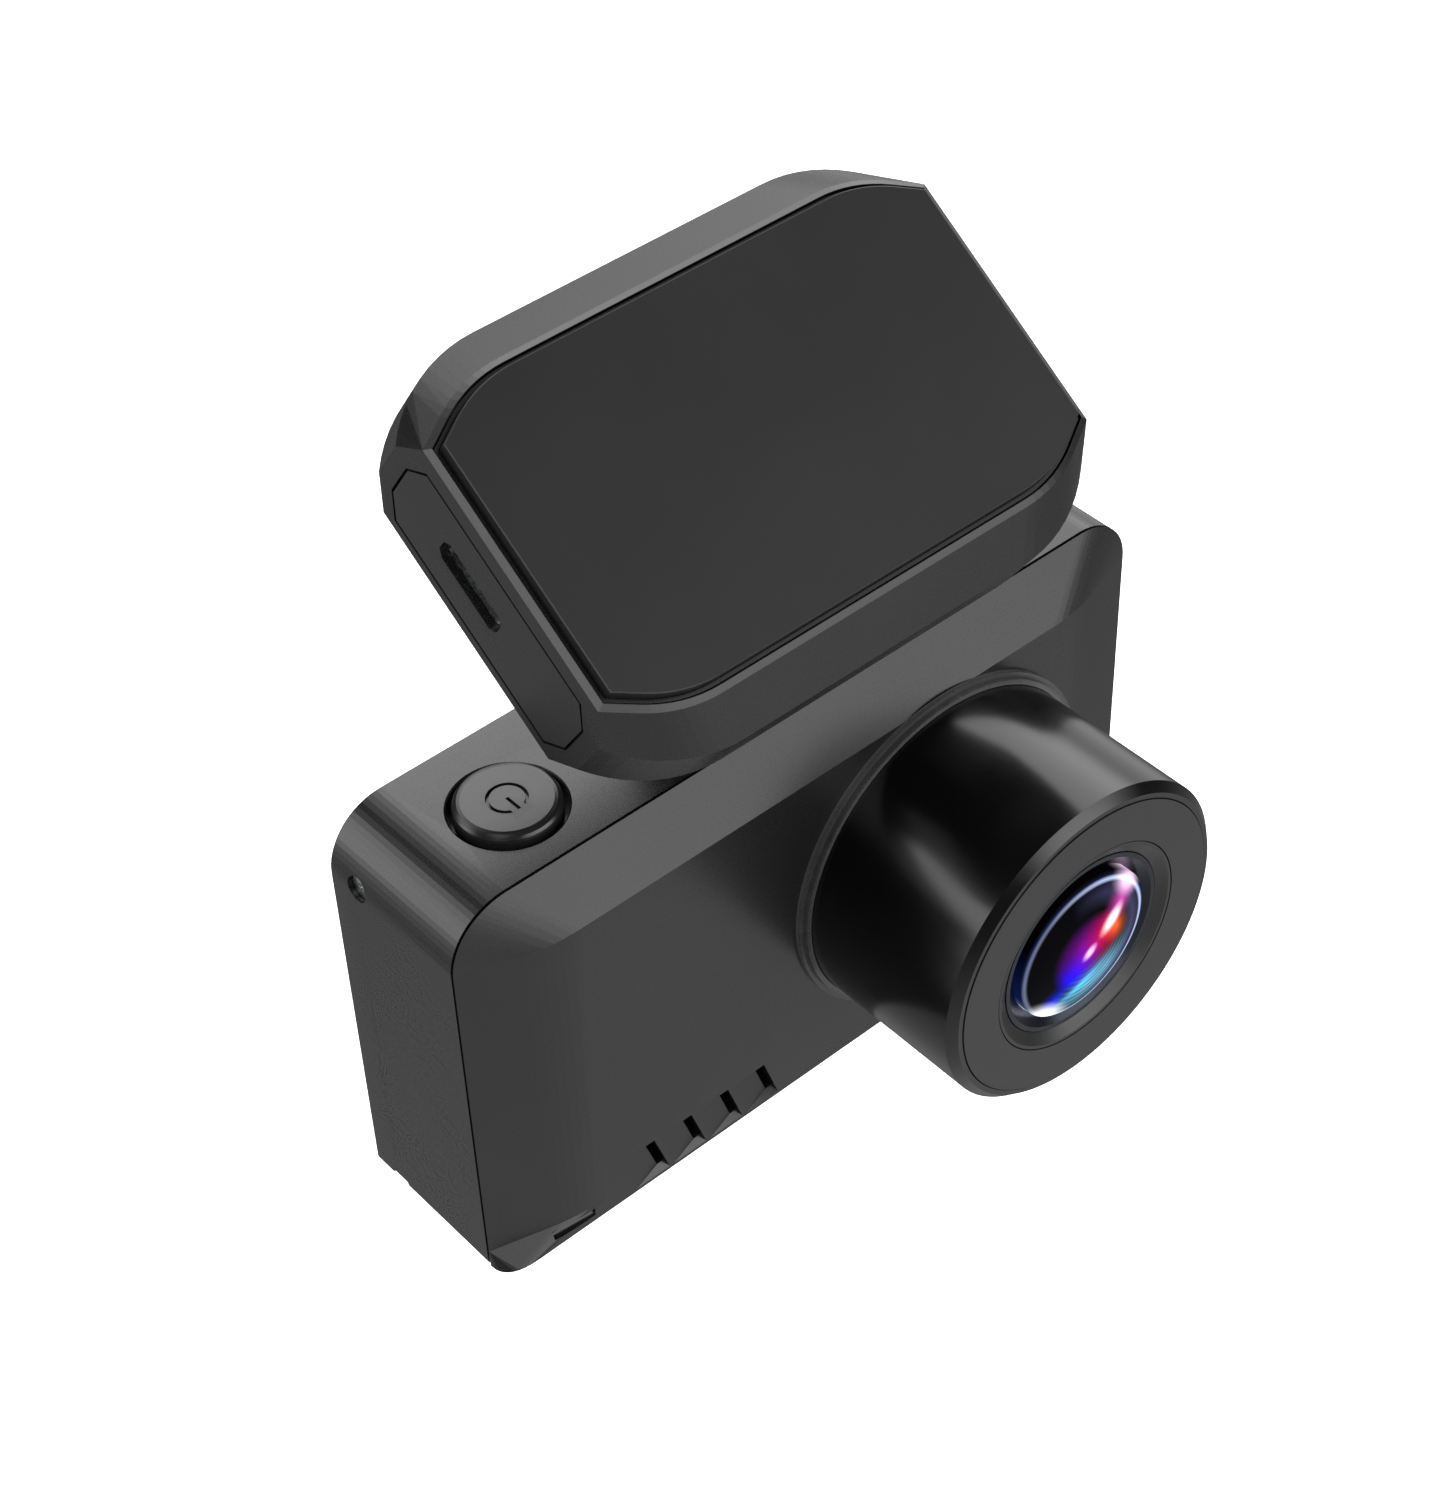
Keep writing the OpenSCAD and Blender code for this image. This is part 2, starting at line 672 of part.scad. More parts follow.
// Inner tube that carries the glasses
module lens_cell() {
    color("#17181a") cam() translate([lens_x, 0, lens_z]) difference() {
        union() {
            disc(-barrel_y + 2.65, -5.5, bezel_r, bezel_r);
            disc(-barrel_y + 2.2, -barrel_y + 4.6, cover_r, cover_r);
            disc(-5.6, -4, 7.2, 7.2);
        }
        disc(-barrel_y - 1, -barrel_y + 3.7, bezel_r + 0.05, bezel_r + 0.05);
        disc(-barrel_y + 3.6, -barrel_y + 8, 8.2, 6.4);
        disc(-barrel_y + 7.9, -7, 6.4, 6.4);
        disc(-8, 0, 5, 5);
    }
}

// Second glass of the lens
module middle_glass() {
    color("#5a4a8a", 0.6) cam() translate([lens_x, 0, lens_z]) intersection() {
        translate([0, -barrel_y + 16.6, 0]) sphere(9, $fn = 160);
        disc(-barrel_y + 7.5, -barrel_y + 9.6, 6.3, 6.3);
    }
}

// Plate with the lens opening
module aperture_stop() {
    color("#0d0d0e") cam() translate([lens_x, 0, lens_z])
        washer(-barrel_y + 9.8, -barrel_y + 10.3, 6.3, 2.2);
}

// Rear glass of the lens
module rear_glass() {
    color("#6a7a9a", 0.6) cam() translate([lens_x, 0, lens_z]) intersection() {
        translate([0, 1.4, 0]) sphere(9, $fn = 160);
        disc(-8, -5.9, 4.9, 4.9);
    }
}

// Threaded holder between the lens and the sensor
module lens_holder() {
    color("#141516") cam() translate([lens_x, 0, lens_z]) difference() {
        union() {
            disc(-3.95, 1, 7.2, 7.2);
            block([-9, 1 - eps, -9], [9, 4.9, 9]);
        }
        disc(-5, 3, 5.2, 5.2);
        block([-6, 2.8, -6], [6, 6, 6]);
    }
}

// Image sensor under its cover
module image_sensor() {
    color("#2b2f45") cam() translate([lens_x, 0, lens_z]) block([-4.5, 3.6, -3.6], [4.5, 4.95, 3.6]);
}

// Board that carries the sensor
module sensor_board() {
    color("#1f5a3a") cam() translate([lens_x, 0, lens_z]) block([-11, 4.98, -11], [11, 6, 11]);
}

// ---------------------------------------------------------------- electronics

// Main circuit board
module main_board() {
    color("#1f5a3a") cam() difference() {
        along_y(board_y, board_y + board_t) translate([0, 23]) soft_rect(76, 40, 1);
        for (p = board_posts()) translate([p[0], 0, p[1]]) disc(board_y - 1, board_y + 3, 1.1, 1.1);
    }
}

// Shield over the processor
module shield_can() {
    color("#a9acb0") cam() block([-13, 8.3, 12], [2, board_y - 0.02, 33]);
}

// Storage capacitors for a safe shut-down
module supercap(z) {
    cam() difference() {
        translate([0, 5.4, z]) rod(-38, -16, 4);
        translate([0, 5.4, z]) difference() {
            rod(-18.6, -17.8, 5);
            rod(-19, -17, 3.7);
        }
    }
}
module supercap_upper() { color("#1b2a6b") supercap(24); }
module supercap_lower() { color("#1b2a6b") supercap(14.6); }

// Flat loudspeaker over the holes in the bottom
module speaker() {
    color("#2c2c2e") cam() block([-36.5, 1.6, 2.2], [-17.5, 9.4, 6.2]);
}

// Microphone behind the slot in the front shell
module microphone() {
    color("#8f8a7a") cam() translate([-34, 0, 8.5]) disc(1.7, 3.4, 1.9, 1.9);
}

// Socket for the memory card
module card_socket() {
    color("#a9acb0") cam() difference() {
        block([24.4, 8.3, 23.6], [39.8, board_y - 0.02, 38.4]);
        block([25.6, 8.8, 25.2], [42, 10.2, 36.8]);
        block([30, 8, 27], [42, 9, 35]);
    }
}

// Memory card
module memory_card() {
    color("#202226") cam() difference() {
        block([27, 9, 25.5], [42, 10, 36.5]);
        translate([27, 8.5, 36.5]) rotate([0, 45, 0]) cube([2, 2, 2], center = true);
    }
}

// Screws that hold the main board
module board_screws() {
    color("#8d9094") cam() for (p = board_posts()) translate([p[0], 0, p[1]]) {
        disc(board_y - 1, board_y + 5, 0.78, 0.78);
        disc(board_y - 1.1, board_y - 0.02, 1.8, 1.8);
    }
}

// Cap of the power button, with its symbol cut in
module power_button() {
    top = body_h + cap_h;
    color("#232427") cam() translate([button_x, button_y, 0]) difference() {
        union() {
            translate([0, 0, top - 2.2]) cylinder(h = 2.2 - cap_edge, r = cap_r);
            for (t = [0:22.5:67.5]) translate([0, 0, top - cap_edge * (1 - sin(t))])
                cylinder(h = cap_edge * (sin(t + 22.5) - sin(t)), r1 = cap_r - cap_edge * (1 - cos(t)),
                    r2 = cap_r - cap_edge * (1 - cos(t + 22.5)));
            translate([0, 0, 42.35 + press]) cylinder(h = top - 43.35 - press, r = 1.9);
        }
        translate([0, 0, top - 0.35]) difference() {
            cylinder(h = 1, r = 2, $fn = 48);
            translate([0, 0, -1]) cylinder(h = 3, r = 1.65, $fn = 48);
            translate([0, -1.5, 0]) cube([1.5, 2, 3], center = true);
        }
        translate([-0.17, -1.85, top - 0.35]) cube([0.34, 1.9, 1]);
    }
}

// Switch under the button
module button_switch() {
    color("#c6c7c9") cam() translate([button_x, button_y, 0]) {
        block([-3, -1.8, 38.2], [3, board_y - button_y - 0.02, 41.4]);
        translate([0, 0, 41.3]) cylinder(h = 1, r = 1.2, $fn = 32);
    }
}

// ---------------------------------------------------------------- assembly

bracket_shell();
bracket_lid();
adhesive_pad();
port_panel();
power_inlet();
bracket_board();
gps_patch();
power_coil();
lid_screws();
hinge_screw();
hinge_nut();
friction_washers();
shoe();
shoe_pins();
rail();
rail_screws();
contact_pads();
case();
front_shell();
trim_ring();
lens_barrel();
barrel_cover();
lens_hood();
retaining_ring();
front_glass();
lens_cell();
middle_glass();
aperture_stop();
rear_glass();
lens_holder();
image_sensor();
sensor_board();
main_board();
shield_can();
supercap_upper();
supercap_lower();
speaker();
microphone();
card_socket();
memory_card();
screen();
screen_cover();
side_screws();
board_screws();
power_button();
button_switch();
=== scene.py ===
"""Looks, light and camera of the windscreen dash camera."""
import json
import math
import bpy
import bmesh
from mathutils import Matrix, Vector


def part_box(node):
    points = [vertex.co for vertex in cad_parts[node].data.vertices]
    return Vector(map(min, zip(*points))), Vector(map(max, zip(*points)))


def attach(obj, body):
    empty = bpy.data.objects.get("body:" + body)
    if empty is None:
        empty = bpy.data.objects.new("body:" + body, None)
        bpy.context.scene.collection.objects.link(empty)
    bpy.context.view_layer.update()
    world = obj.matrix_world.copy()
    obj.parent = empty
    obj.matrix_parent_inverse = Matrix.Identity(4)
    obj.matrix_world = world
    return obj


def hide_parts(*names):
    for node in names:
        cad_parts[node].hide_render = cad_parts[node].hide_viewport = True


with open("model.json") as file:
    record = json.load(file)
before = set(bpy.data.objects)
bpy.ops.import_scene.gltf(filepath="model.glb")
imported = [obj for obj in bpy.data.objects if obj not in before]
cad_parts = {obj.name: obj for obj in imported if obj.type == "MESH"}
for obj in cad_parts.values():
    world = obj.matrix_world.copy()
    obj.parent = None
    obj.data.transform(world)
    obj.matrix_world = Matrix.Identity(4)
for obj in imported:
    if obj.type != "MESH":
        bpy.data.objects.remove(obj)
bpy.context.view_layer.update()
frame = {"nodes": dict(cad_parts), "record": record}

MM = 0.001
nodes = frame["nodes"]
scene = bpy.context.scene
scene.view_settings.view_transform = "Standard"
scene.view_settings.look = "None"


# ---------------------------------------------------------------- node helpers

class Shader:
    """A node material built from the Principled shader."""

    def __init__(self, name):
        self.mat = bpy.data.materials.new(name)
        self.mat.use_nodes = True
        self.tree = self.mat.node_tree
        self.main = self.tree.nodes["Principled BSDF"]
        self.where = self.node("ShaderNodeTexCoord").outputs["Object"]

    def node(self, kind, **settings):
        n = self.tree.nodes.new(kind)
        for k, v in settings.items():
            setattr(n, k, v)
        return n

    def put(self, value, socket):
        """A number, a colour or another node's output goes into a socket."""
        if isinstance(value, bpy.types.NodeSocket):
            self.tree.links.new(value, socket)
        elif isinstance(value, (tuple, list)):
            socket.default_value = (*value, 1) if len(socket.default_value) == 4 else value
        else:
            socket.default_value = value

    def noise(self, size, detail=2.0):
        """Noise whose features are about that size, in metres."""
        n = self.node("ShaderNodeTexNoise")
        n.inputs["Scale"].default_value = 1 / size
        n.inputs["Detail"].default_value = detail
        self.put(self.where, n.inputs["Vector"])
        return n.outputs["Fac"]

    def spread(self, value, low, high, start=0.3, end=0.7):
        """A value between start and end, spread from low to high."""
        n = self.node("ShaderNodeMapRange")
        for key, v in (("Value", value), ("From Min", start), ("From Max", end),
                       ("To Min", low), ("To Max", high)):
            self.put(v, n.inputs[key])
        return n.outputs["Result"]

    def mix(self, factor, a, b, how="MIX"):
        n = self.node("ShaderNodeMix", data_type="RGBA", blend_type=how)
        self.put(factor, n.inputs[0])
        self.put(a, n.inputs[6])
        self.put(b, n.inputs[7])
        return n.outputs[2]

    def math(self, how, a, b=0.0):
        n = self.node("ShaderNodeMath", operation=how)
        self.put(a, n.inputs[0])
        self.put(b, n.inputs[1])
        return n.outputs[0]

    def edges(self, low=0.52, high=0.6):
        """One on outer edges, nought elsewhere."""
        sharp = self.node("ShaderNodeNewGeometry").outputs["Pointiness"]
        return self.spread(sharp, 0, 1, low, high)

    def bump(self, height, depth):
        n = self.node("ShaderNodeBump")
        n.inputs["Strength"].default_value = 1.0
        n.inputs["Distance"].default_value = depth
        self.put(height, n.inputs["Height"])
        self.put(n.outputs["Normal"], self.main.inputs["Normal"])

    def set(self, **values):
        for key, v in values.items():
            self.put(v, self.main.inputs[key.replace("_", " ")])
        return self.mat


def moulded(name, rgb, rough, grain=0.00011, depth=0.0000016, edge_lightening=0.35, sheen=0.5):
    """Moulded plastic with a fine grain, uneven gloss and lighter, glossier edges; set high, the
    lighter edges are painted highlights.
    """
    s = Shader(name)
    edge_mask = s.edges()
    fine = s.noise(grain, 3)
    large = s.noise(0.012, 3)
    colour = s.mix(s.spread(large, 0, 1), rgb, tuple(1.25 * c for c in rgb))
    # lighter edges; where this is turned high, as on the trim ring, they are painted highlights
    colour = s.mix(s.math("MULTIPLY", edge_mask, edge_lightening), colour, tuple(2.6 * c + 0.004 for c in rgb))
    gloss = s.math("ADD", s.spread(fine, rough - 0.03, rough + 0.04), s.spread(large, -0.02, 0.02))
    gloss = s.math("SUBTRACT", gloss, s.math("MULTIPLY", edge_mask, 0.06))
    s.bump(fine, depth)
    return s.set(Base_Color=colour, Roughness=gloss, Specular_IOR_Level=sheen)


def metal(name, rgb, rough, edge_lightening=0.3):
    """Machined or plated metal with fine marks and paler edges."""
    s = Shader(name)
    marks = s.noise(0.0004, 4)
    large = s.noise(0.004, 2)
    edge_mask = s.math("MULTIPLY", s.edges(), edge_lightening)
    colour = s.mix(s.spread(large, 0, 1), rgb, tuple(0.8 * c for c in rgb))
    colour = s.mix(edge_mask, colour, tuple(min(1, 1.5 * c + 0.1) for c in rgb))
    s.bump(marks, 0.000002)
    gloss = s.spread(marks, rough - 0.06, rough + 0.08)
    return s.set(Base_Color=colour, Metallic=1.0, Roughness=gloss)


def circuit(name):
    """Green solder mask with faint tracks under it."""
    s = Shader(name)
    brick = s.node("ShaderNodeTexBrick")
    brick.inputs["Scale"].default_value = 420
    brick.inputs["Mortar Size"].default_value = 0.06
    s.put(s.where, brick.inputs["Vector"])
    areas = s.spread(s.noise(0.003, 1), 0, 1, 0.45, 0.55)
    tracks = s.math("MULTIPLY", brick.outputs["Fac"], areas)
    colour = s.mix(tracks, (0.006, 0.07, 0.035), (0.02, 0.16, 0.08))
    s.bump(tracks, 0.00002)
    return s.set(Base_Color=colour, Roughness=s.spread(s.noise(0.0008), 0.25, 0.4))


satin = moulded("satin_black", (0.0065, 0.0066, 0.0068), 0.30)
smooth = moulded("gloss_black", (0.0026, 0.0026, 0.0028), 0.19, depth=0.0000008)
disc_grey = moulded("disc_grey", (0.0085, 0.0086, 0.009), 0.42, grain=0.00014)
hood_grey = moulded("hood_grey", (0.0065, 0.007, 0.0062), 0.36)
dark_plastic = moulded("dark_plastic", (0.02, 0.02, 0.021), 0.45)
sleeve = moulded("capacitor_sleeve", (0.01, 0.02, 0.16), 0.25, edge_lightening=0)
ceramic = moulded("ceramic", (0.42, 0.34, 0.22), 0.35, edge_lightening=0.1)
nylon = moulded("nylon", (0.55, 0.52, 0.45), 0.4, edge_lightening=0)
steel = metal("bright_metal", (0.56, 0.57, 0.58), 0.28)
black_metal = metal("dark_metal", (0.05, 0.05, 0.053), 0.38)
# trim ring: a lighter grey with fully lightened edges, painting highlight lines along its two edges
trim_painted_highlights = moulded("trim_painted_highlights", (0.035, 0.035, 0.036), 0.3, edge_lightening=1.0)
gold = metal("gold_contact", (0.85, 0.6, 0.22), 0.2)
board = circuit("circuit_board")
chip = moulded("sensor", (0.02, 0.028, 0.06), 0.12, edge_lightening=0)


def spun_ring():
    """Blue-grey anodised ring, turned round the lens axis."""
    s = Shader("anodised_ring")
    marks = s.noise(0.0003, 3)
    large = s.noise(0.006, 2)
    colour = s.mix(s.spread(large, 0, 1), (0.018, 0.021, 0.028), (0.03, 0.035, 0.05))
    s.bump(marks, 0.0000015)
    return s.set(Base_Color=colour, Metallic=0.85, Roughness=s.spread(marks, 0.18, 0.3))


DISPLAY_HALF = (30.8 * MM, 18.0 * MM)     # half width and half height of the display


def cover_glass():
    """Glass over the screen: black border, and the dark display under its middle."""
    s = Shader("cover_glass")
    lo, hi = (Vector(v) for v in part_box("screen_cover"))
    mid = nodes["screen_cover"].matrix_world.inverted() @ ((lo + hi) / 2)
    m = s.node("ShaderNodeMapping", vector_type="TEXTURE")
    m.inputs["Location"].default_value = mid
    m.inputs["Scale"].default_value = (DISPLAY_HALF[0], 1, DISPLAY_HALF[1])
    s.put(s.where, m.inputs["Vector"])
    split = s.node("ShaderNodeSeparateXYZ")
    s.put(m.outputs["Vector"], split.inputs[0])
    far = s.math("MAXIMUM", s.math("ABSOLUTE", split.outputs["X"]),
                 s.math("ABSOLUTE", split.outputs["Z"]))
    inside = s.math("LESS_THAN", far, 1.0)
    colour = s.mix(inside, (0.0015, 0.0015, 0.0017), (0.010, 0.011, 0.013))
    smear = s.noise(0.018, 4)
    return s.set(Base_Color=colour, Roughness=s.spread(smear, 0.04, 0.1), Coat_Weight=0.6,
                 Coat_Roughness=0.03)


def lens_glass(name, tint):
    """Plain inner glass with a coloured coating."""
    s = Shader(name)
    rough = s.spread(s.noise(0.002), 0.01, 0.03)
    return s.set(Base_Color=tint, Roughness=rough, Transmission_Weight=0.85, IOR=1.6,
                 Coat_Weight=0.8, Coat_Roughness=0.02)


PATTERN_DROP = 0.4 * MM       # the painted reflections sit this far below the lens axis


def front_glass():
    """Domed front glass. The coloured reflections of its coatings are painted on it as soft
    spots and rings that glow, placed in millimetres from the lens axis."""
    s = Shader("coated_glass")
    lo, hi = (Vector(v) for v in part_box("front_glass"))
    centre = nodes["front_glass"].matrix_world.inverted() @ Vector(
        ((lo.x + hi.x) / 2, lo.y, (lo.z + hi.z) / 2 - PATTERN_DROP))
    back = s.node("ShaderNodeVectorMath", operation="SUBTRACT")
    s.put(s.where, back.inputs[0])
    back.inputs[1].default_value = centre
    flat = s.node("ShaderNodeVectorMath", operation="MULTIPLY")
    s.put(back.outputs[0], flat.inputs[0])
    flat.inputs[1].default_value = (1000, 0, 1000)
    spot_at = flat.outputs[0]

    def spot(x, z, along, across, turn, sharp=1.0):
        """A soft oval spot; turn is in degrees and sharp flattens its middle."""
        m = s.node("ShaderNodeMapping", vector_type="TEXTURE")
        m.inputs["Location"].default_value = (x, 0, z)
        m.inputs["Rotation"].default_value = (0, -math.radians(turn), 0)
        m.inputs["Scale"].default_value = (along, 1, across)
        s.put(spot_at, m.inputs["Vector"])
        g = s.node("ShaderNodeTexGradient", gradient_type="QUADRATIC_SPHERE")
        s.put(m.outputs["Vector"], g.inputs["Vector"])
        return s.spread(g.outputs["Fac"], 0, 1, 0, 1 / sharp)

    length = s.node("ShaderNodeVectorMath", operation="LENGTH")
    s.put(spot_at, length.inputs[0])
    radius = length.outputs["Value"]

    def ring(r, width):
        """One on a ring of that radius and nought away from it."""
        away = s.math("ABSOLUTE", s.math("SUBTRACT", radius, r))
        return s.spread(away, 1, 0, 0, width)

    split = s.node("ShaderNodeSeparateXYZ")
    s.put(spot_at, split.inputs[0])
    right = s.spread(split.outputs["X"], 0, 1, -2, 5)
    inner = s.spread(radius, 1, 0, 3.7, 4.8)

    def ripples(per_mm, low):
        """Fine rings round the axis, from low to one."""
        wave = s.math("SINE", s.math("MULTIPLY", radius, per_mm))
        return s.spread(wave, low, 1, -1, 1)

    def inside(value):
        """Kept to the disc of the second glass."""
        return s.math("MULTIPLY", value, inner)

    streaks = ripples(9.0, 0.45)
    fine = ripples(14.0, 0.7)
    brighter_right = s.spread(split.outputs["X"], 0.25, 1, -5, 4)
    # painted reflections: each layer is a mask and the colour it glows with on the glass
    painted_reflection_layers = (
        (s.math("MULTIPLY", ring(6.6, 1.6), right), (0.05, 0.05, 0.12)),
        (inner, (0.012, 0.0, 0.02)),
        (inside(s.math("MULTIPLY", spot(2.2, 1.4, 6.0, 4.4, 42), fine)), (1.0, 0.0, 0.02)),
        (inside(spot(-1.2, 1.6, 5.6, 4.2, 40)), (0.13, 0.0, 0.22)),
        (inside(spot(-1.9, -2.0, 5.4, 4.0, 48)), (0.0, 0.0, 1.3)),
        (spot(3.7, 1.0, 3.2, 2.2, -60), (1.0, 0.16, 0.0)),
        (spot(4.3, 3.7, 4.2, 2.5, 45), (0.8, 0.05, 0.5)),
        (spot(-4.3, -4.6, 3.8, 2.0, 45), (0.0, 0.01, 0.9)),
        (s.math("MULTIPLY", spot(0.3, -5.0, 7.6, 3.6, 24), streaks), (0.22, 0.66, 0.9)),
        (s.math("MULTIPLY", spot(3.1, -4.2, 5.8, 2.8, 50), streaks), (0.12, 0.32, 0.46)),
        (spot(-0.6, -4.3, 5.4, 1.1, 27), (0.05, 0.6, 1.1)),
        (spot(-4.9, -6.0, 4.4, 2.0, -32, 1.8), (1.2, 1.2, 1.2)),
        (spot(5.7, 5.4, 3.2, 2.0, -45, 1.8), (1.1, 0.8, 1.1)),
        (spot(3.1, 2.3, 2.5, 1.3, 35, 2.2), (1.4, 1.25, 1.1)),
        (spot(0.0, 0.0, 1.4, 0.9, 40, 2.0), (1.3, 0.8, 1.3)),
        (s.math("MULTIPLY", ring(7.95, 0.35), brighter_right), (0.65, 0.75, 1.1)),
        (ring(8.2, 0.4), (0.004, 0.012, 0.07)),
    )
    painted_reflection = (0.0, 0.0, 0.0)
    for amount, colour in painted_reflection_layers:
        painted_reflection = s.mix(1.0, painted_reflection, s.mix(amount, (0.0, 0.0, 0.0), colour), "ADD")
    smear = s.spread(s.noise(0.003, 3), 0.015, 0.035)
    # the painted reflections are emitted by the glass
    return s.set(Base_Color=(0.002, 0.002, 0.003), Roughness=smear, IOR=1.5,
                 Specular_IOR_Level=0.012, Emission_Color=painted_reflection, Emission_Strength=1.0)


# ---------------------------------------------------------------- finishes

finish = {
    "satin_black": satin, "gloss_black": smooth, "bright_metal": steel,
    "dark_metal": black_metal, "circuit_board": board, "ceramic": ceramic, "nylon": nylon,
    "gold_contact": gold, "anodised_ring": spun_ring(), "dark_plastic": dark_plastic,
    "sensor": chip, "capacitor_sleeve": sleeve, "screen_panel": chip,
    "cover_glass": cover_glass(), "foam_tape": dark_plastic,
    "coated_glass": lens_glass("inner_glass", (0.35, 0.25, 0.8)),
}
special = {"front_glass": front_glass(), "barrel_cover": disc_grey, "lens_hood": hood_grey,
           "trim_ring": trim_painted_highlights}
slots = {p["node"]: p["material_slot"] for p in frame["record"]["subparts"]}
EDGE = 0.1                    # usual width of a softened edge, in millimetres
own_edge = {"case": 0.07, "front_shell": 0.09, "lens_barrel": 0.2, "trim_ring": 0.16,
            "power_button": 0.12, "port_panel": 0.05, "bracket_lid": 0.06}
for name, o in nodes.items():
    o.data.materials.clear()
    o.data.materials.append(special.get(name) or finish[slots[name]])
    edge = o.modifiers.new("edges", "BEVEL")
    edge.width = own_edge.get(name, EDGE) * MM
    edge.segments = 3
    edge.limit_method = "ANGLE"
    edge.angle_limit = math.radians(32)


# ---------------------------------------------------------------- adhesive tape

FOAM_WAIST = (0.25, 0.22 * MM)    # the side runs straight from a quarter up to just below the liner
LINER_EDGE = 0.07 * MM            # height of the rounding of the liner's edge


def tape():
    """The foam tape: rounded edges, a porous side and a smooth liner on top."""
    node = nodes["adhesive_pad"]
    up = Vector(frame["record"]["mounts"][0]["axis"]).normalized()
    side = Vector((1, 0, 0))
    back = up.cross(side)
    points = [node.matrix_world @ v.co for v in node.data.vertices]
    top = max(p.dot(up) for p in points)
    low = min(p.dot(up) for p in points)
    flat = {(round(p.dot(side), 6), round(p.dot(back), 6))
            for p in points if top - p.dot(up) < 0.01 * MM}
    ring = sorted(flat, key=lambda q: math.atan2(q[1], q[0]))
    bm = bmesh.new()
    # height, and how far the outline is drawn in there, in millimetres
    levels = ((low, 0), (low + FOAM_WAIST[0] * (top - low), 0), (top - FOAM_WAIST[1], 0),
              (top - LINER_EDGE, 0.03), (top, 0.16))
    rows = []
    for level, inset in levels:
        row = []
        for x, y in ring:
            k = 1 - inset * MM / math.hypot(x, y)
            row.append(bm.verts.new(side * x * k + back * y * k + up * level))
        rows.append(row)
    n = len(ring)
    for a, b in zip(rows, rows[1:]):
        for i in range(n):
            bm.faces.new((a[i], a[(i + 1) % n], b[(i + 1) % n], b[i]))
    bm.faces.new(rows[-1])
    bm.faces.new(list(reversed(rows[0])))
    bmesh.ops.recalc_face_normals(bm, faces=bm.faces[:])
    mesh = bpy.data.meshes.new("foam_tape")
    bm.to_mesh(mesh)
    bm.free()
    o = bpy.data.objects.new("foam_tape", mesh)
    scene.collection.objects.link(o)
    s = Shader("foam_tape")
    normal = s.node("ShaderNodeNewGeometry").outputs["Normal"]
    dot = s.node("ShaderNodeVectorMath", operation="DOT_PRODUCT")
    s.put(normal, dot.inputs[0])
    dot.inputs[1].default_value = up
    liner = s.spread(dot.outputs["Value"], 0, 1, 0.6, 0.9)
    pores = s.node("ShaderNodeTexVoronoi")
    pores.inputs["Scale"].default_value = 1 / 0.00035
    s.put(s.where, pores.inputs["Vector"])
    ripple = s.noise(0.02, 3)
    foam = s.math("SUBTRACT", 1.0, liner)
    pitted = s.math("MULTIPLY", pores.outputs["Distance"], foam)
    s.bump(s.math("ADD", pitted, s.math("MULTIPLY", ripple, 0.6)), 0.04 * MM)
    film = s.mix(s.spread(ripple, 0, 1), (0.012, 0.0122, 0.0125), (0.016, 0.0162, 0.0165))
    colour = s.mix(liner, (0.003, 0.003, 0.003), film)
    gloss = s.spread(liner, 0.85, 0.34, 0, 1)
    o.data.materials.append(s.set(Base_Color=colour, Roughness=gloss, Specular_IOR_Level=0.4))
    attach(o, "bracket")
    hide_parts("adhesive_pad")


tape()


# ---------------------------------------------------------------- stage

FLOOR_Z = -0.32               # height of the floor
FLAT_R = 2.2                  # radius of its flat part
BEND_R = 0.8                  # radius of the bend round it
DOME_Z = 0.6                  # height where the dome starts
DOME_H = 2.4                  # rise of the dome above that
SIDES = 48                    # sides of the dome, seen from above


def studio():
    """A flat pale floor that runs up into a plain dome. Only the camera sees it."""
    dome_r = FLAT_R + BEND_R
    profile = [(FLAT_R, FLOOR_Z)]
    profile += [(FLAT_R + BEND_R * math.sin(a), FLOOR_Z + BEND_R * (1 - math.cos(a)))
                for a in (math.radians(15 * i) for i in range(1, 7))]
    profile += [(dome_r * math.cos(a), DOME_Z + DOME_H * math.sin(a))
                for a in (math.radians(15 * i) for i in range(1, 6))]
    bm = bmesh.new()
    rows = [[bm.verts.new((r * math.cos(t), r * math.sin(t), z))
             for t in (math.tau * k / SIDES for k in range(SIDES))] for r, z in profile]
    for lower, upper in zip(rows, rows[1:]):
        for k in range(SIDES):
            after = (k + 1) % SIDES
            bm.faces.new((lower[k], lower[after], upper[after], upper[k]))
    bm.faces.new(rows[0])
    bm.faces.new(rows[-1])
    mesh = bpy.data.meshes.new("floor")
    bm.to_mesh(mesh)
    bm.free()
    o = bpy.data.objects.new("floor", mesh)
    scene.collection.objects.link(o)
    o.visible_glossy = o.visible_diffuse = o.visible_transmission = o.visible_shadow = False
    paper = Shader("paper")
    fibre = paper.noise(0.002, 4)
    paper.bump(fibre, 0.00002)
    o.data.materials.append(paper.set(
        Base_Color=paper.mix(fibre, (0.86, 0.86, 0.86), (0.9, 0.9, 0.9)), Roughness=0.9,
        Emission_Color=(1.0, 1.0, 1.0), Emission_Strength=1.0))


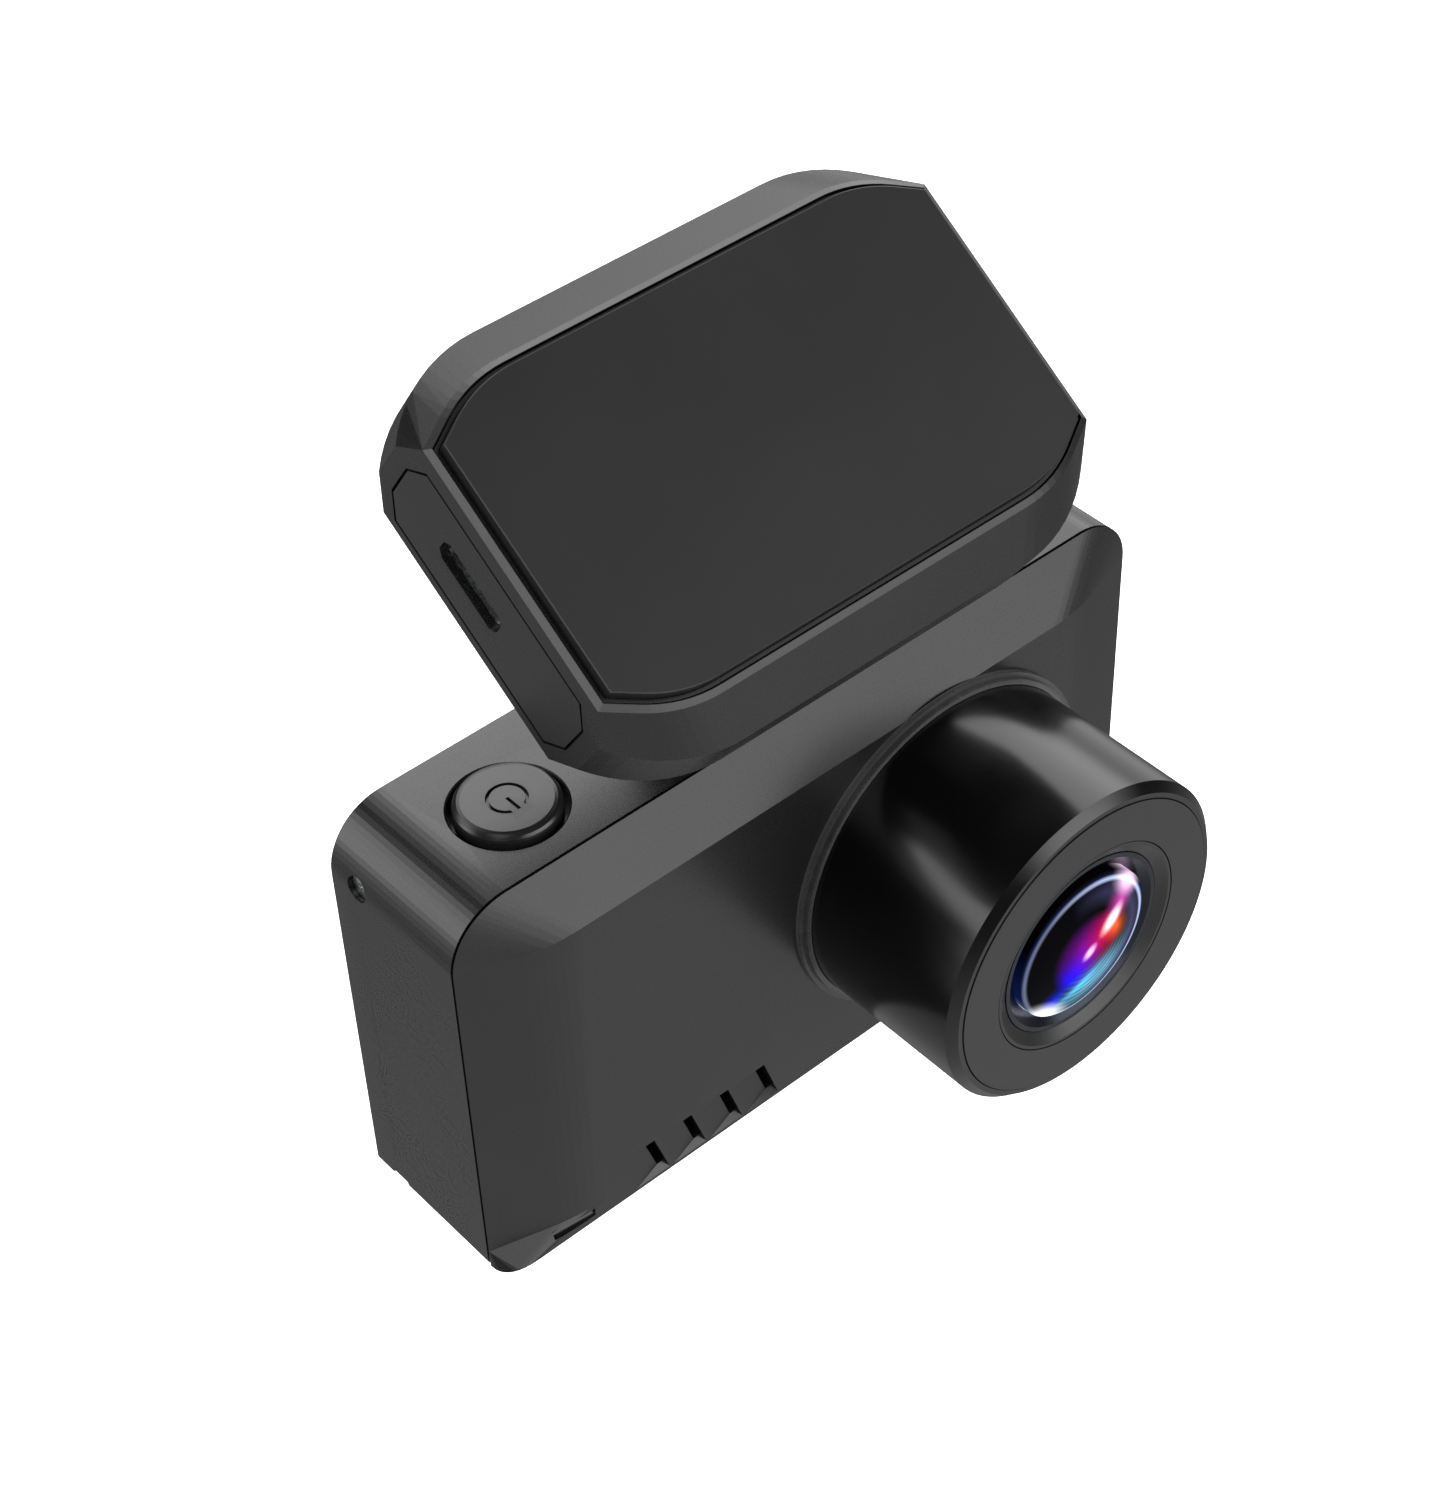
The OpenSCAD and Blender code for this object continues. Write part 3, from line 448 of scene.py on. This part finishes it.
# Soft lights: azimuth from the front towards the right, elevation, radius of the even part
# and outer radius, all in degrees, then radiance
LIGHTS = (
    (0, -90, 60, 130, 0.09),      # surround, from below
    (127, 36, 8, 31, 3.0),        # back right
    (165, 38, 10, 26, 2.1),       # back
    (119, 2, 6, 34, 0.9),         # right, low
    (-130, 24, 9, 30, 3.2),       # back left
    (-118, -2, 6, 26, 0.9),       # left, low
    (-60, 46, 8, 24, 3.6),        # left, high
    (20, 12, 22, 37, 2.55),       # front right
    (35, 30, 12, 36, 1.2),        # above it
    (-10, -50, 15, 68, 0.52),     # front, from below
    (-148, -50, 12, 50, 0.26),    # back left, from below
    (80, -45, 15, 45, 0.12),      # right, from below
)


def studio_light():
    """Large soft lights as patches of a dim surround."""
    world = bpy.data.worlds.new("studio")
    scene.world = world
    world.use_nodes = True
    tree = world.node_tree
    where = tree.nodes.new("ShaderNodeTexCoord").outputs["Generated"]

    def patch(azimuth, elevation, inner, outer, radiance):
        az, el = math.radians(azimuth), math.radians(elevation)
        dot = tree.nodes.new("ShaderNodeVectorMath")
        dot.operation = "DOT_PRODUCT"
        tree.links.new(where, dot.inputs[0])
        dot.inputs[1].default_value = (math.sin(az) * math.cos(el), -math.cos(az) * math.cos(el),
                                       math.sin(el))
        soft = tree.nodes.new("ShaderNodeMapRange")
        soft.interpolation_type = "SMOOTHSTEP"
        tree.links.new(dot.outputs["Value"], soft.inputs["Value"])
        for key, v in (("From Min", math.cos(math.radians(outer))),
                       ("From Max", math.cos(math.radians(inner))), ("To Max", radiance)):
            soft.inputs[key].default_value = v
        return soft.outputs["Result"]

    total = None
    for one in LIGHTS:
        value = patch(*one)
        if total is None:
            total = value
            continue
        add = tree.nodes.new("ShaderNodeMath")
        tree.links.new(total, add.inputs[0])
        tree.links.new(value, add.inputs[1])
        total = add.outputs[0]
    tree.links.new(total, tree.nodes["Background"].inputs["Color"])


studio()
studio_light()


# ---------------------------------------------------------------- camera

CAMERA_AT = (-0.14336, -0.16426, 0.16546)
CAMERA_RIGHT = (0.75167, -0.65882, -0.03072)
CAMERA_AHEAD = (0.46647, 0.56398, -0.68142)
FOCAL_LENGTH = 75.56          # for a sensor 36 mm wide


def place_camera():
    """The camera that the photograph was taken from, solved from the body's edges."""
    data = bpy.data.cameras.new("camera")
    data.sensor_width = 36
    data.lens = FOCAL_LENGTH
    data.clip_start = 0.01
    cam = bpy.data.objects.new("camera", data)
    scene.collection.objects.link(cam)
    scene.camera = cam
    right = Vector(CAMERA_RIGHT).normalized()
    ahead = Vector(CAMERA_AHEAD).normalized()
    m = Matrix((right, right.cross(ahead), -ahead)).transposed().to_4x4()
    m.translation = Vector(CAMERA_AT)
    cam.matrix_world = m


place_camera()
